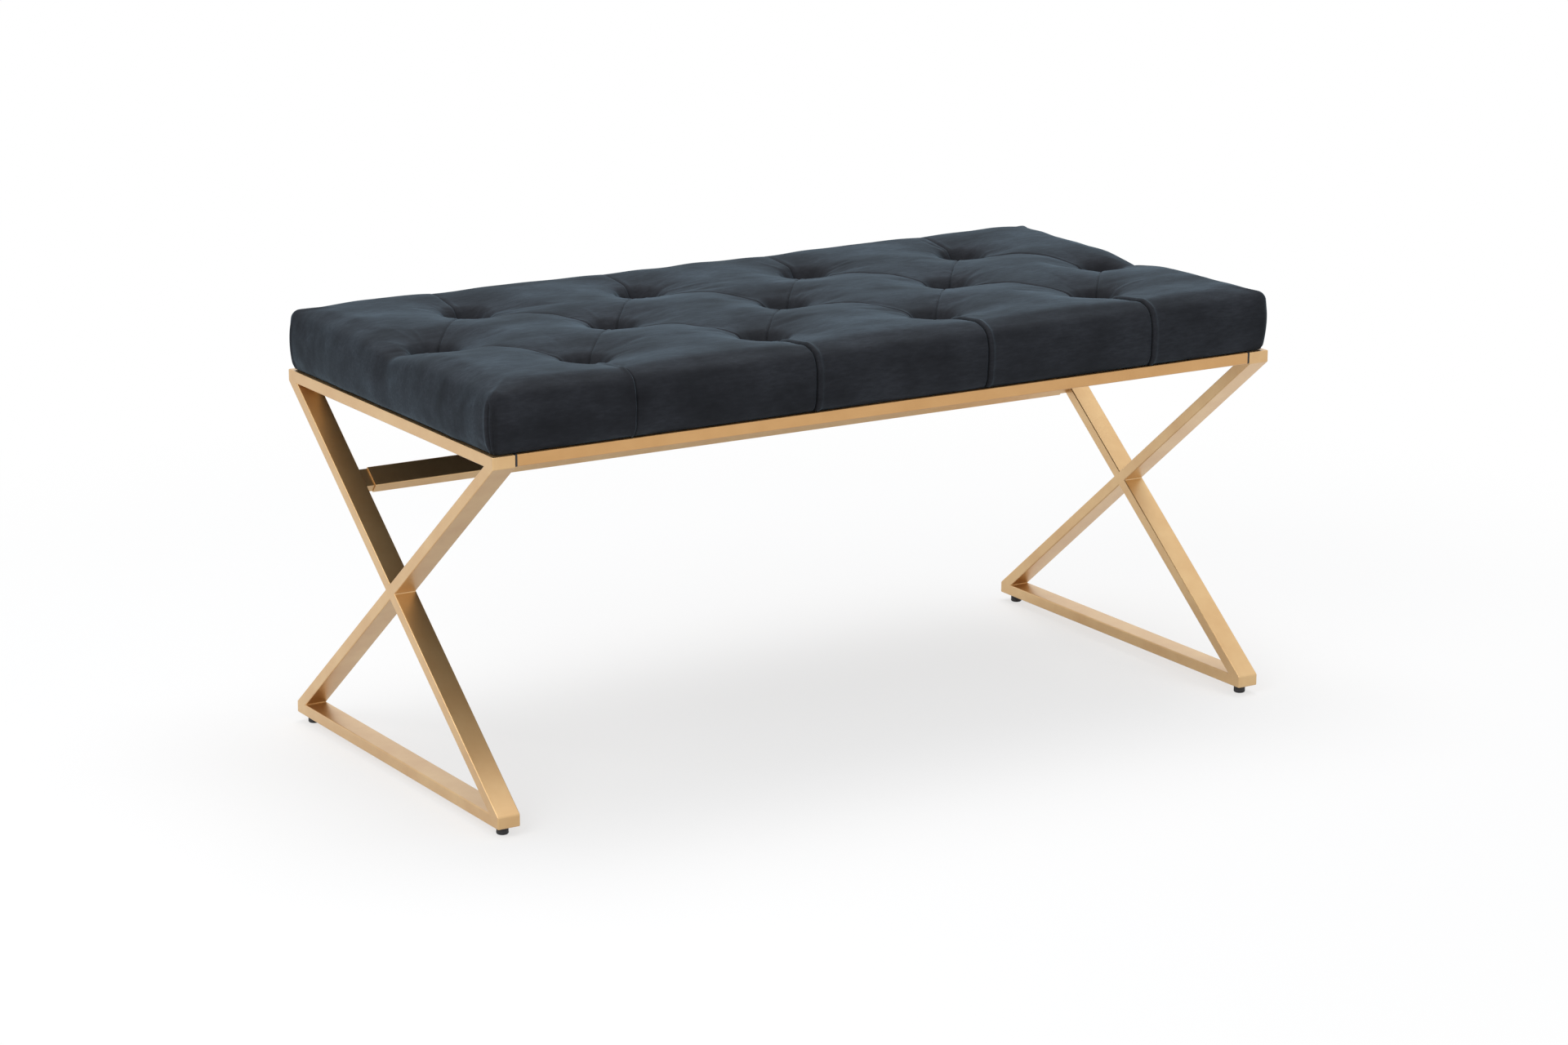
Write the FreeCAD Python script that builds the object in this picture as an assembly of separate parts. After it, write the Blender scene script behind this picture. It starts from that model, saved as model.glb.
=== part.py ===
import FreeCAD, Part
import math
import os

# Upholstered bench, in millimetres. X runs along the bench, -Y is its front and +Z is up.
# The origin is on the floor, under the middle of the seat.

V = FreeCAD.Vector

# Side frames: rectangular steel tube, welded as an X between a top bar and a bottom bar
frame_length = 976.0
frame_depth = 472.0
frame_height = 390.0
tube_width = 26.0
tube_thickness = 13.0
tube_wall = 1.2
tube_corner = 1.6
cap_thickness = 1.5

# Levelling glides that screw into the bottom bars
glide_height = 10.0
glide_diameter = 13.0
glide_edge = 2.0
glide_end_distance = 15.0
glide_shoulder_gap = 0.2
stud_diameter = 6.0
stud_head_across_flats = 8.0
stud_head_height = 5.0
stud_top_gap = 1.0
nut_across_flats = 10.0
nut_height = 5.0
thread_clearance = 0.15

# Front and rear rails under the seat, closed by plastic plugs
rail_recess = 1.0
rail_end_gap = 0.4
plug_flange = 2.0
plug_depth = 14.0
plug_clearance = 0.2

# Rear stretcher, slid over stubs that are welded to the upper rear braces
stretcher_distance = 147.0
stretcher_end_gap = 10.0
stub_insertion = 30.0
stub_clearance = 0.25
stub_screw_diameter = 5.0
stub_screw_depth = 7.0
stub_screw_end_gap = 2.4

# Seat: a plywood board, foam, and a velvet cover that wraps under the board
seat_thickness = 66.0
seat_base_inset = 3.0
seat_bulge = 2.0
seat_bulge_height = 26.0
seat_shoulder_radius = 12.0
seat_shoulder_sweep = 65.0
seat_crown_radius = 45.0
seat_corner_radius = 18.0
cover_thickness = 3.0
foam_clearance = 0.2
hem_thickness = 1.5
hem_width = 34.0
board_thickness = 12.0
board_clearance = 0.3
dust_cover_thickness = 0.8
dust_cover_gap = 0.5

# Sewn tufts: rows of four, five and four, and the pleats between them
tuft_end_distance = 56.0
tuft_edge_distance = 104.0
tufts_per_row = 4
tuft_depth = 24.0
tuft_mouth_radius = 75.0
tuft_waist_radius = 34.0
tuft_waist_depth = 9.0
tuft_floor_radius = 4.0
tuft_folds = 12
pleat_width = 1.8
pleat_depth = 1.6
pleat_end_distance = 15.0
twine_diameter = 2.0
twine_hole_clearance = 1.5
twine_sides = 4
knot_diameter = 4.5
knot_height = 0.8
anchor_diameter = 14.0
anchor_thickness = 1.2
anchor_recess_depth = 2.6

# Fasteners between the frames, the rails and the board
bolt_diameter = 6.0
bolt_head_diameter = 11.0
bolt_head_height = 3.3
bolt_spacing = 140.0
bolt_end_gap = 1.0
tee_flange_diameter = 19.0
tee_flange_thickness = 1.2
tee_barrel_wall = 1.0
screw_diameter = 4.0
screw_head_diameter = 8.0
screw_head_height = 2.4
screw_spacing = 300.0
screw_bite = 10.0
hole_clearance = 0.4
hexagon_sides = 6
shank_sides = 8
head_sides = 16

# How far a cutting shape reaches past the surface that it opens
margin = 10.0
overlap = 1.0

# Levels and places that follow from the sizes above
bars_bottom = glide_height
bars_top = glide_height + frame_height
braces_bottom = bars_bottom + tube_thickness
braces_top = bars_top - tube_thickness
seat_top = bars_top + seat_thickness
board_bottom = bars_top + hem_thickness
board_top = board_bottom + board_thickness
half_length = frame_length / 2
half_depth = frame_depth / 2
frame_centre_x = half_length - tube_width / 2
inner_face_x = half_length - tube_width
crossing_z = (bars_bottom + bars_top) / 2
stud_head_radius = stud_head_across_flats / 2 / math.cos(math.pi / hexagon_sides)
tuft_pitch = (frame_length - 2 * tuft_end_distance) / tufts_per_row
tuft_row_offset = half_depth - tuft_edge_distance

# The braces run corner to corner, so their slope follows from the space between the bars
brace_space = braces_top - braces_bottom
brace_slope = math.atan2(brace_space, frame_depth)
brace_slope += math.asin(tube_thickness / math.hypot(frame_depth, brace_space))
brace_length = brace_space / math.sin(brace_slope) + 4 * tube_width


def line(start, end):
    return Part.LineSegment(start, end).toShape()


def rounded_rectangle(half_x, half_y, radius, z=0.0):
    """A wire of four lines and four quarter arcs, centred on the Z axis."""
    diagonal = radius * (1 - math.sqrt(0.5))
    edges = []
    for sign_x, sign_y in ((1, 1), (-1, 1), (-1, -1), (1, -1)):
        corner_x = sign_x * half_x
        corner_y = sign_y * half_y
        on_x_side = V(corner_x, corner_y - sign_y * radius, z)
        on_y_side = V(corner_x - sign_x * radius, corner_y, z)
        middle = V(corner_x - sign_x * diagonal, corner_y - sign_y * diagonal, z)
        first, last = on_x_side, on_y_side
        if sign_x * sign_y < 0:
            first, last = on_y_side, on_x_side
        if edges:
            edges.append(line(edges[-1].Vertexes[-1].Point, first))
        edges.append(Part.Arc(first, middle, last).toShape())
    edges.append(line(edges[-1].Vertexes[-1].Point, edges[0].Vertexes[0].Point))
    return Part.Wire(edges)


def bar(width, thickness, corner, length):
    """A solid bar with rounded edges, along Z and centred on the origin."""
    face = Part.Face(rounded_rectangle(width / 2, thickness / 2, corner))
    solid = face.extrude(V(0, 0, length))
    solid.translate(V(0, 0, -length / 2))
    return solid


def block(width, thickness, length):
    """A plain box, along Z and centred on the origin."""
    return Part.makeBox(width, thickness, length, V(-width / 2, -thickness / 2, -length / 2))


def tube(length):
    """The bench's rectangular tube, along Z and centred on the origin, width along X."""
    outer = bar(tube_width, tube_thickness, tube_corner, length)
    return outer.cut(block(tube_width - 2 * tube_wall, tube_thickness - 2 * tube_wall, length + margin))


def polygon(sides, radius, z, x=0.0, y=0.0):
    """A closed wire with the given number of sides, level at Z."""
    corners = []
    for index in range(sides + 1):
        angle = 2 * math.pi * (index % sides + 0.5) / sides
        corners.append(V(x + radius * math.cos(angle), y + radius * math.sin(angle), z))
    return Part.makePolygon(corners)


def prism(sides, radius, z_low, z_high, x=0.0, y=0.0):
    return Part.Face(polygon(sides, radius, z_low, x, y)).extrude(V(0, 0, z_high - z_low))


def pin(radius, x, y, z_low, z_high):
    """A fastener's shank, or the hole for one, with few sides."""
    return prism(shank_sides, radius, z_low, z_high, x, y)


def turned(shape, place, x_axis, z_axis):
    """The shape with its own X and Z laid along the given directions."""
    rotation = FreeCAD.Rotation(x_axis, V(0, 0, 0), z_axis, "ZXY")
    copy = shape.copy()
    copy.Placement = FreeCAD.Placement(place, rotation).multiply(shape.Placement)
    return copy


def slab(z_low, z_high):
    """Everything between two levels, wider than the bench."""
    size_x = frame_length + 2 * margin
    size_y = frame_depth + 2 * margin
    return Part.makeBox(size_x, size_y, z_high - z_low, V(-size_x / 2, -size_y / 2, z_low))


def group(solids):
    return Part.makeCompound(solids)


def moved(shape, x, y=0.0, z=0.0):
    copy = shape.copy()
    copy.translate(V(x, y, z))
    return copy


def save(name, shape):
    shape.exportStep(os.path.join("parts", name + ".step"))
    print(name, len(shape.Solids), "solids, volume", round(shape.Volume), "valid", shape.isValid())


# Side frames

def brace_direction(rising_to_rear):
    rise = math.sin(brace_slope) if rising_to_rear else -math.sin(brace_slope)
    return V(0, math.cos(brace_slope), rise)


def brace(rising_to_rear):
    """A tube across the frame through the crossing, cut level at both bars."""
    whole = turned(tube(brace_length), V(0, 0, crossing_z), V(1, 0, 0), brace_direction(rising_to_rear))
    return whole.common(slab(braces_bottom, braces_top))


def half_brace(z_low, z_high):
    """The half of the second brace that is welded to the long one."""
    strip = block(tube_width + margin, tube_thickness, brace_length)
    long_way = turned(strip, V(0, 0, crossing_z), V(1, 0, 0), brace_direction(False))
    return brace(True).common(slab(z_low, z_high)).cut(long_way)


def level_bar(z_middle):
    return turned(tube(frame_depth), V(0, 0, z_middle), V(1, 0, 0), V(0, 1, 0))


def end_caps():
    """Plates welded flush into the open ends of the top and bottom bars."""
    caps = []
    for z_middle in (bars_bottom + tube_thickness / 2, bars_top - tube_thickness / 2):
        for side in (-1, 1):
            cap = block(tube_width - 2 * tube_wall, tube_thickness - 2 * tube_wall, cap_thickness)
            place = V(0, side * (half_depth - cap_thickness / 2), z_middle)
            caps.append(turned(cap, place, V(1, 0, 0), V(0, 1, 0)))
    return group(caps)


def bolt_rows():
    return (-bolt_spacing, 0.0, bolt_spacing)


def glide_rows():
    return (-(half_depth - glide_end_distance), half_depth - glide_end_distance)


def side_frame():
    """The six nodes of one welded frame, with the frame's middle at X = 0."""
    bolt_hole = bolt_diameter / 2 + hole_clearance
    top = level_bar(bars_top - tube_thickness / 2)
    top = top.cut([pin(bolt_hole, 0, y, braces_top - margin, bars_top + margin) for y in bolt_rows()])
    stud_hole = stud_diameter / 2 + hole_clearance
    hole_top = bars_bottom + tube_wall + overlap
    bottom = level_bar(bars_bottom + tube_thickness / 2)
    bottom = bottom.cut([pin(stud_hole, 0, y, bars_bottom - margin, hole_top) for y in glide_rows()])
    return {
        "top_bar": top,
        "bottom_bar": bottom,
        "long_brace": brace(False),
        "upper_rear_brace": half_brace(crossing_z, braces_top),
        "lower_front_brace": half_brace(braces_bottom, crossing_z),
        "frame_end_caps": end_caps(),
    }


# Levelling glides

def glide():
    """A plastic foot with a bevelled lower edge, moulded round the head of its stud."""
    radius = glide_diameter / 2
    top = bars_bottom - glide_shoulder_gap
    corners = [
        V(0, 0, 0),
        V(radius - glide_edge, 0, 0),
        V(radius, 0, glide_edge),
        V(radius, 0, top),
        V(0, 0, top),
        V(0, 0, 0),
    ]
    body = Part.Face(Part.makePolygon(corners)).revolve(V(0, 0, 0), V(0, 0, 1), 360)
    socket = prism(hexagon_sides, stud_head_radius + thread_clearance, top - stud_head_height, top + margin)
    return body.cut(socket)


def stud():
    """A threaded stud: a hexagon head inside the glide and a shank up through the bar."""
    head_top = bars_bottom - glide_shoulder_gap
    end = bars_bottom + tube_thickness - tube_wall - stud_top_gap
    head = prism(hexagon_sides, stud_head_radius, head_top - stud_head_height, head_top)
    return head.fuse(pin(stud_diameter / 2, 0, 0, head_top, end))


def glide_nut():
    """A hexagon nut welded on the inside of the bottom bar's lower wall."""
    base = bars_bottom + tube_wall
    top = base + nut_height
    body = prism(hexagon_sides, nut_across_flats / 2 / math.cos(math.pi / hexagon_sides), base, top)
    return body.cut(pin(stud_diameter / 2 + thread_clearance, 0, 0, base - margin, top + margin))


# Rails under the seat's front and rear edges

rail_half = inner_face_x - rail_end_gap - plug_flange
rail_y = half_depth - rail_recess - tube_width / 2
rail_z = bars_top - tube_thickness / 2


def screw_columns():
    return (-screw_spacing, 0.0, screw_spacing)


def rail():
    """A flat-laid tube at Y = 0, with holes for screws driven up from below."""
    body = turned(tube(2 * rail_half), V(0, 0, rail_z), V(0, 1, 0), V(1, 0, 0))
    reach = screw_head_diameter / 2 + hole_clearance
    shank = screw_diameter / 2 + hole_clearance
    holes = []
    for x in screw_columns():
        holes.append(pin(reach, x, 0, braces_top - margin, rail_z))
        holes.append(pin(shank, x, 0, rail_z, bars_top + margin))
    return body.cut(holes)


def rail_plugs():
    """The two end plugs of a rail at Y = 0: a flange and a spigot inside the tube."""
    plugs = []
    spigot_width = tube_width - 2 * tube_wall - 2 * plug_clearance
    spigot_thickness = tube_thickness - 2 * tube_wall - 2 * plug_clearance
    for side in (-1, 1):
        flange = bar(tube_width, tube_thickness, tube_corner, plug_flange)
        flange = turned(flange, V(side * (rail_half + plug_flange / 2), 0, rail_z), V(0, 1, 0), V(1, 0, 0))
        spigot = block(spigot_width, spigot_thickness, plug_depth)
        spigot = turned(spigot, V(side * (rail_half - plug_depth / 2), 0, rail_z), V(0, 1, 0), V(1, 0, 0))
        plugs.append(flange.fuse(spigot).removeSplitter())
    return group(plugs)


def rail_screw():
    """A pan-head screw whose head bears on the inside of the rail's upper wall."""
    bearing = bars_top - tube_wall
    shank = pin(screw_diameter / 2, 0, 0, bearing, board_bottom + screw_bite)
    head = prism(head_sides, screw_head_diameter / 2, bearing - screw_head_height, bearing)
    return shank.fuse(head).removeSplitter()


# Rear stretcher, in line with the upper rear braces

stretcher_y = stretcher_distance * math.cos(brace_slope)
stretcher_z = crossing_z + stretcher_distance * math.sin(brace_slope)
stretcher_half = inner_face_x - stretcher_end_gap
stub_length = stretcher_end_gap + stub_insertion
stub_screw_x = stretcher_half - stub_insertion / 2


def across_brace(shape, x):
    """Lay a bar along X at the stretcher, its width along the brace."""
    return turned(shape, V(x, stretcher_y, stretcher_z), brace_direction(True), V(1, 0, 0))


def stub_screw_axis(shape):
    """Stand a shape on the stretcher's lower wide face, pointing into the tube."""
    inward = V(0, -math.sin(brace_slope), math.cos(brace_slope))
    surface = V(0, stretcher_y, stretcher_z) - inward * (tube_thickness / 2)
    return turned(shape, surface, V(1, 0, 0), inward)


def stub_screw():
    head = prism(head_sides, screw_head_diameter / 2, -screw_head_height, 0)
    shank = prism(shank_sides, stub_screw_diameter / 2, 0, stub_screw_depth)
    return stub_screw_axis(head.fuse(shank).removeSplitter())


def stub_screw_hole(clearance, depth):
    return stub_screw_axis(prism(shank_sides, stub_screw_diameter / 2 + clearance, -tube_wall, depth))


def stretcher():
    body = across_brace(tube(2 * stretcher_half), 0)
    hole = stub_screw_hole(hole_clearance, tube_wall + overlap)
    return body.cut([moved(hole, side * stub_screw_x) for side in (-1, 1)])


def stub(side):
    width = tube_width - 2 * tube_wall - 2 * stub_clearance
    thickness = tube_thickness - 2 * tube_wall - 2 * stub_clearance
    body = across_brace(block(width, thickness, stub_length), side * (inner_face_x - stub_length / 2))
    hole = stub_screw_hole(thread_clearance, stub_screw_depth + stub_screw_end_gap)
    return body.cut(moved(hole, side * stub_screw_x))


# Seat

def tuft_places():
    """Tuft centres in plan: a row of five along the middle, and rows of four beside it."""
    outer = [(index - (tufts_per_row - 1) / 2) * tuft_pitch for index in range(tufts_per_row)]
    middle = [(index - tufts_per_row / 2) * tuft_pitch for index in range(tufts_per_row + 1)]
    front = [V(x, -tuft_row_offset, 0) for x in outer]
    rear = [V(x, tuft_row_offset, 0) for x in outer]
    return front, [V(x, 0, 0) for x in middle], rear


def seat_outline(half_width, offset):
    """The seat's upright section: drawn-in sides, tight shoulders and a gentle crown."""
    sweep = math.radians(seat_shoulder_sweep)
    shift = seat_crown_radius - seat_shoulder_radius
    shoulder_z = seat_top - seat_crown_radius + shift * math.sin(sweep)
    shoulder = V(half_width - seat_shoulder_radius, 0, shoulder_z)
    crown = shoulder - V(math.cos(sweep), 0, math.sin(sweep)) * shift

    def around(centre, radius, angle):
        return centre + V(math.cos(angle), 0, math.sin(angle)) * (radius - offset)

    side = half_width - offset
    right = [
        V(side - seat_base_inset, 0, bars_top),
        V(side + seat_bulge, 0, bars_top + seat_bulge_height),
        around(shoulder, seat_shoulder_radius, 0),
        around(shoulder, seat_shoulder_radius, sweep / 2),
        around(shoulder, seat_shoulder_radius, sweep),
        around(crown, seat_crown_radius, (sweep + math.pi / 2) / 2),
        around(crown, seat_crown_radius, math.pi / 2),
    ]
    left = [V(-point.x, 0, point.z) for point in reversed(right)]
    edges = [line(left[-1], right[0])]
    edges += [Part.Arc(right[i], right[i + 1], right[i + 2]).toShape() for i in (0, 2, 4)]
    edges.append(line(right[-1], left[0]))
    edges += [Part.Arc(left[i], left[i + 1], left[i + 2]).toShape() for i in (0, 2, 4)]
    return Part.Face(Part.Wire(edges))


def seat_block(offset):
    """The seat before tufting: its two upright sections crossed, with rounded corners in plan."""
    reach = half_length + half_depth
    across = moved(seat_outline(half_length, offset), 0, -reach).extrude(V(0, 2 * reach, 0))
    section = seat_outline(half_depth, offset)
    section.rotate(V(0, 0, 0), V(0, 0, 1), 90)
    along = moved(section, -reach).extrude(V(2 * reach, 0, 0))
    clear = 2 * seat_bulge - offset
    corner = seat_corner_radius - offset
    plan = rounded_rectangle(half_length + clear, half_depth + clear, corner, bars_top - margin)
    corners = Part.Face(plan).extrude(V(0, 0, seat_thickness + 2 * margin))
    return across.common(along).common(corners)


def stacked(wires):
    """A solid with flat faces through level polygons that have the same number of sides."""
    rings = [[vertex.Point for vertex in wire.OrderedVertexes] for wire in wires]
    faces = [Part.Face(wires[0]), Part.Face(wires[-1])]
    for low, high in zip(rings, rings[1:]):
        for index in range(len(low)):
            corners = [low[index - 1], low[index], high[index], high[index - 1], low[index - 1]]
            faces.append(Part.Face(Part.makePolygon(corners)))
    return Part.makeSolid(Part.makeShell(faces))


def tuft_tool(offset):
    """A funnel with radial folds, steep at its floor and flat at its mouth, for one tuft."""
    level = seat_top - offset
    flare = (tuft_mouth_radius - tuft_waist_radius) / tuft_waist_depth
    return stacked([
        polygon(tuft_folds, tuft_floor_radius, level - tuft_depth),
        polygon(tuft_folds, tuft_waist_radius, level - tuft_waist_depth),
        polygon(tuft_folds, tuft_mouth_radius + flare * overlap, level + overlap),
        polygon(tuft_folds, tuft_mouth_radius + flare * overlap, seat_top + margin),
    ])


def all_tufts():
    front, middle, rear = tuft_places()
    return front + middle + rear


def seat_form(offset):
    """The tufted seat as a solid block, everywhere offset inwards by the given amount."""
    tool = tuft_tool(offset)
    return seat_block(offset).cut([moved(tool, place.x, place.y) for place in all_tufts()])


def pleat_blade(start, end):
    """A thin upright blade over a line in plan, through the seat's whole height."""
    along = end - start
    blade = Part.makeBox(along.Length, pleat_width, seat_thickness + 2 * margin)
    blade.translate(V(0, -pleat_width / 2, bars_top - margin))
    blade.rotate(V(0, 0, 0), V(0, 0, 1), math.degrees(math.atan2(along.y, along.x)))
    return moved(blade, start.x, start.y)


def pleat_blades():
    """Pleats between neighbouring tufts, and from the outer rows over the seat's edges."""
    front, middle, rear = tuft_places()
    blades = []
    for row, outward in ((front, -1), (rear, 1)):
        for index, place in enumerate(row):
            for neighbour in (middle[index], middle[index + 1]):
                step = (neighbour - place).normalize() * pleat_end_distance
                blades.append(pleat_blade(place + step, neighbour - step))
            start = place + V(0, outward * pleat_end_distance, 0)
            blades.append(pleat_blade(start, V(place.x, outward * (half_depth + margin), 0)))
    return blades


def plan_plate(inset, corner, z_low, z_high):
    """A level plate with rounded corners, inset from the frame's outline."""
    wire = rounded_rectangle(half_length - inset, half_depth - inset, corner, z_low)
    return Part.Face(wire).extrude(V(0, 0, z_high - z_low))


def fastener_places():
    """Plan positions of the seat bolts and of the rail screws."""
    bolts = [V(side * frame_centre_x, y, 0) for side in (-1, 1) for y in bolt_rows()]
    screws = [V(x, side * rail_y, 0) for side in (-1, 1) for x in screw_columns()]
    return bolts, screws


def velvet_cover():
    """The cover with its padding: a shell over foam and board, with a hem under the board."""
    inside = seat_form(cover_thickness).common(slab(board_bottom, seat_top + margin))
    hem_inset = seat_base_inset + hem_width
    hem_opening = plan_plate(hem_inset, seat_corner_radius, bars_top - margin, board_bottom + margin)
    pleats = group(pleat_blades()).cut(seat_form(pleat_depth))
    bolts, screws = fastener_places()
    holes = []
    for places, diameter in ((bolts, bolt_diameter), (screws, screw_diameter)):
        for place in places:
            radius = diameter / 2 + hole_clearance
            holes.append(pin(radius, place.x, place.y, bars_top - margin, board_bottom + overlap))
    return seat_form(0.0).cut(inside).cut(pleats).cut([hem_opening] + holes)


board_inset = seat_base_inset + cover_thickness + board_clearance
board_corner = seat_corner_radius - cover_thickness
tee_barrel_radius = bolt_diameter / 2 + thread_clearance + tee_barrel_wall
twine_hole_radius = (twine_diameter + twine_hole_clearance) / 2
anchor_top = board_bottom + anchor_recess_depth


def twine_hole(place, z_low, z_high):
    return prism(twine_sides, twine_hole_radius, z_low, z_high, place.x, place.y)


def seat_board():
    """Plywood with holes for tee nuts and screws, and recesses for the tuft anchors."""
    holes = []
    bolts, screws = fastener_places()
    for place in bolts:
        holes.append(pin(tee_barrel_radius, place.x, place.y, board_bottom - margin, board_top + margin))
        flange = tee_flange_diameter / 2 + hole_clearance
        holes.append(pin(flange, place.x, place.y, board_top - tee_flange_thickness, board_top + margin))
    for place in screws:
        screw_end = board_bottom + screw_bite
        holes.append(pin(screw_diameter / 2, place.x, place.y, board_bottom - margin, screw_end))
    for place in all_tufts():
        holes.append(twine_hole(place, board_bottom - margin, board_top + margin))
        recess = anchor_diameter / 2 + hole_clearance
        holes.append(prism(twine_sides, recess, board_bottom - margin, anchor_top, place.x, place.y))
    return plan_plate(board_inset, board_corner, board_bottom, board_top).cut(holes)


def foam_pad():
    pad = seat_form(cover_thickness + foam_clearance).common(slab(board_top, seat_top + margin))
    return pad.cut([twine_hole(place, board_top - margin, seat_top) for place in all_tufts()])


def dust_cover():
    """Thin black cloth that closes the underside inside the hem."""
    inset = seat_base_inset + hem_width + dust_cover_gap
    return plan_plate(inset, seat_corner_radius, board_bottom - dust_cover_thickness, board_bottom)


def tuft_tie():
    """Twine from the bottom of a tuft to a knot under its anchor."""
    anchor_bottom = anchor_top - anchor_thickness
    tuft_floor = seat_top - tuft_depth - cover_thickness
    twine = prism(twine_sides, twine_diameter / 2, anchor_bottom, tuft_floor)
    knot = prism(twine_sides, knot_diameter / 2, anchor_bottom - knot_height, anchor_bottom)
    return twine.fuse(knot).removeSplitter()


def tuft_anchor():
    plate = prism(twine_sides, anchor_diameter / 2, anchor_top - anchor_thickness, anchor_top)
    return plate.cut(twine_hole(V(0, 0, 0), anchor_top - margin, anchor_top + margin))


def seat_bolt():
    """A button-head bolt from under the top bar up into a tee nut."""
    shank = pin(bolt_diameter / 2, 0, 0, braces_top, board_top - bolt_end_gap)
    head = prism(head_sides, bolt_head_diameter / 2, braces_top - bolt_head_height, braces_top)
    return shank.fuse(head).removeSplitter()


def tee_nut():
    flange = pin(tee_flange_diameter / 2, 0, 0, board_top - tee_flange_thickness, board_top)
    barrel = pin(tee_barrel_radius, 0, 0, board_bottom, board_top)
    bore = pin(bolt_diameter / 2 + thread_clearance, 0, 0, board_bottom - margin, board_top + margin)
    return flange.fuse(barrel).removeSplitter().cut(bore)


# Write every node

os.makedirs("parts", exist_ok=True)

frame_pieces = side_frame()
for side_name, side_sign in (("left", -1), ("right", 1)):
    for piece_name, piece in frame_pieces.items():
        save(side_name + "_" + piece_name, moved(piece, side_sign * frame_centre_x))
    save(side_name + "_stretcher_stub", stub(side_sign))

glide_nuts = []
for row_name, row_y in zip(("front", "rear"), glide_rows()):
    for side_name, side_sign in (("left", -1), ("right", 1)):
        foot_x = side_sign * frame_centre_x
        save(row_name + "_" + side_name + "_glide", moved(glide(), foot_x, row_y))
        save(row_name + "_" + side_name + "_stud", moved(stud(), foot_x, row_y))
        glide_nuts.append(moved(glide_nut(), foot_x, row_y))
save("glide_nuts", group(glide_nuts))

for row_name, row_sign in (("front", -1), ("rear", 1)):
    save(row_name + "_rail", moved(rail(), 0, row_sign * rail_y))
    save(row_name + "_rail_plugs", moved(rail_plugs(), 0, row_sign * rail_y))

save("stretcher", stretcher())
save("stretcher_screws", group([moved(stub_screw(), side * stub_screw_x) for side in (-1, 1)]))

bolt_places, screw_places = fastener_places()
save("seat_bolts", group([moved(seat_bolt(), place.x, place.y) for place in bolt_places]))
save("tee_nuts", group([moved(tee_nut(), place.x, place.y) for place in bolt_places]))
save("rail_screws", group([moved(rail_screw(), place.x, place.y) for place in screw_places]))

save("seat_board", seat_board())
save("foam_pad", foam_pad())
save("velvet_cover", velvet_cover())
save("dust_cover", dust_cover())
save("tuft_ties", group([moved(tuft_tie(), place.x, place.y) for place in all_tufts()]))
save("tuft_anchors", group([moved(tuft_anchor(), place.x, place.y) for place in all_tufts()]))
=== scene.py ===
import bpy
import bmesh
import math
import numpy as np
from mathutils import Matrix, Vector


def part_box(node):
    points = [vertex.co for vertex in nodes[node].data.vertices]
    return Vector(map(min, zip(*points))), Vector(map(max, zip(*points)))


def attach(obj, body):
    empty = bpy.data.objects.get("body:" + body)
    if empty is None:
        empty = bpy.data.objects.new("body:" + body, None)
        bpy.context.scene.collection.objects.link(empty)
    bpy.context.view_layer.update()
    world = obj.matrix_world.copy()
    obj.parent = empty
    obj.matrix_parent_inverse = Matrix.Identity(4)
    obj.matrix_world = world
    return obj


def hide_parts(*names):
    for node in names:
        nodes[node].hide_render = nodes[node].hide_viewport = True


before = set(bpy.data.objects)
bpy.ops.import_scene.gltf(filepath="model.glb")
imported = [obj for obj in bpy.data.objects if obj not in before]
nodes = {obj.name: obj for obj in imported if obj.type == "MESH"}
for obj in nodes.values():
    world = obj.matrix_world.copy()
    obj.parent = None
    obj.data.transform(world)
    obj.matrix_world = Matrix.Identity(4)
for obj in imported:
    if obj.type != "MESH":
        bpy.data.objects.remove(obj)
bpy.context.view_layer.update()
scene = bpy.context.scene
scene.view_settings.view_transform = "Standard"

mm = 0.001

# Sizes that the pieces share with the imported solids
bar_low, bar_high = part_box("left_top_bar")
half_length = -bar_low.x
half_depth = -bar_low.y
tube_width = bar_high.x - bar_low.x
tube_thickness = bar_high.z - bar_low.z
seat_base = bar_high.z
seat_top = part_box("velvet_cover")[1].z

# Tufts in rows of four, five and four
tuft_pitch = 216 * mm
tuft_row_offset = 132 * mm
tuft_pull, tuft_reach, tuft_pinch = 6 * mm, 105 * mm, 4 * mm
tuft_well, tuft_well_reach, tuft_well_wall = 14 * mm, 32 * mm, 20 * mm
tuft_depth = tuft_pull * math.log(tuft_reach / tuft_pinch) + tuft_well
front_tufts = [(x * tuft_pitch, -tuft_row_offset) for x in (-1.5, -0.5, 0.5, 1.5)]
middle_tufts = [(x * tuft_pitch, 0.0) for x in (-2, -1, 0, 1, 2)]
rear_tufts = [(x * tuft_pitch, tuft_row_offset) for x in (-1.5, -0.5, 0.5, 1.5)]
tufts = np.array(front_tufts + middle_tufts + rear_tufts)


# Materials

def linear(code):
    """A hex colour as linear red, green and blue with full alpha."""
    parts = [int(code[i:i + 2], 16) / 255 for i in (1, 3, 5)]
    return [p / 12.92 if p <= 0.04045 else ((p + 0.055) / 1.055) ** 2.4 for p in parts] + [1.0]


def add(tree, kind, settings=None, values=None, links=None):
    """Adds one node with its settings, its socket values and its incoming links."""
    made = tree.nodes.new(kind)
    for name, value in (settings or {}).items():
        setattr(made, name, value)
    for socket, value in (values or {}).items():
        made.inputs[socket].default_value = value
    for socket, sources in (links or {}).items():
        for source, outlet in sources if isinstance(sources, list) else [sources]:
            tree.links.new(source.outputs[outlet], made.inputs[socket])
    return made


def blank_material(name):
    """An empty material, its tree and the coordinates of the piece."""
    material = bpy.data.materials.new(name)
    material.use_nodes = True
    tree = material.node_tree
    tree.nodes.clear()
    return material, tree, add(tree, "ShaderNodeTexCoord")


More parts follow.
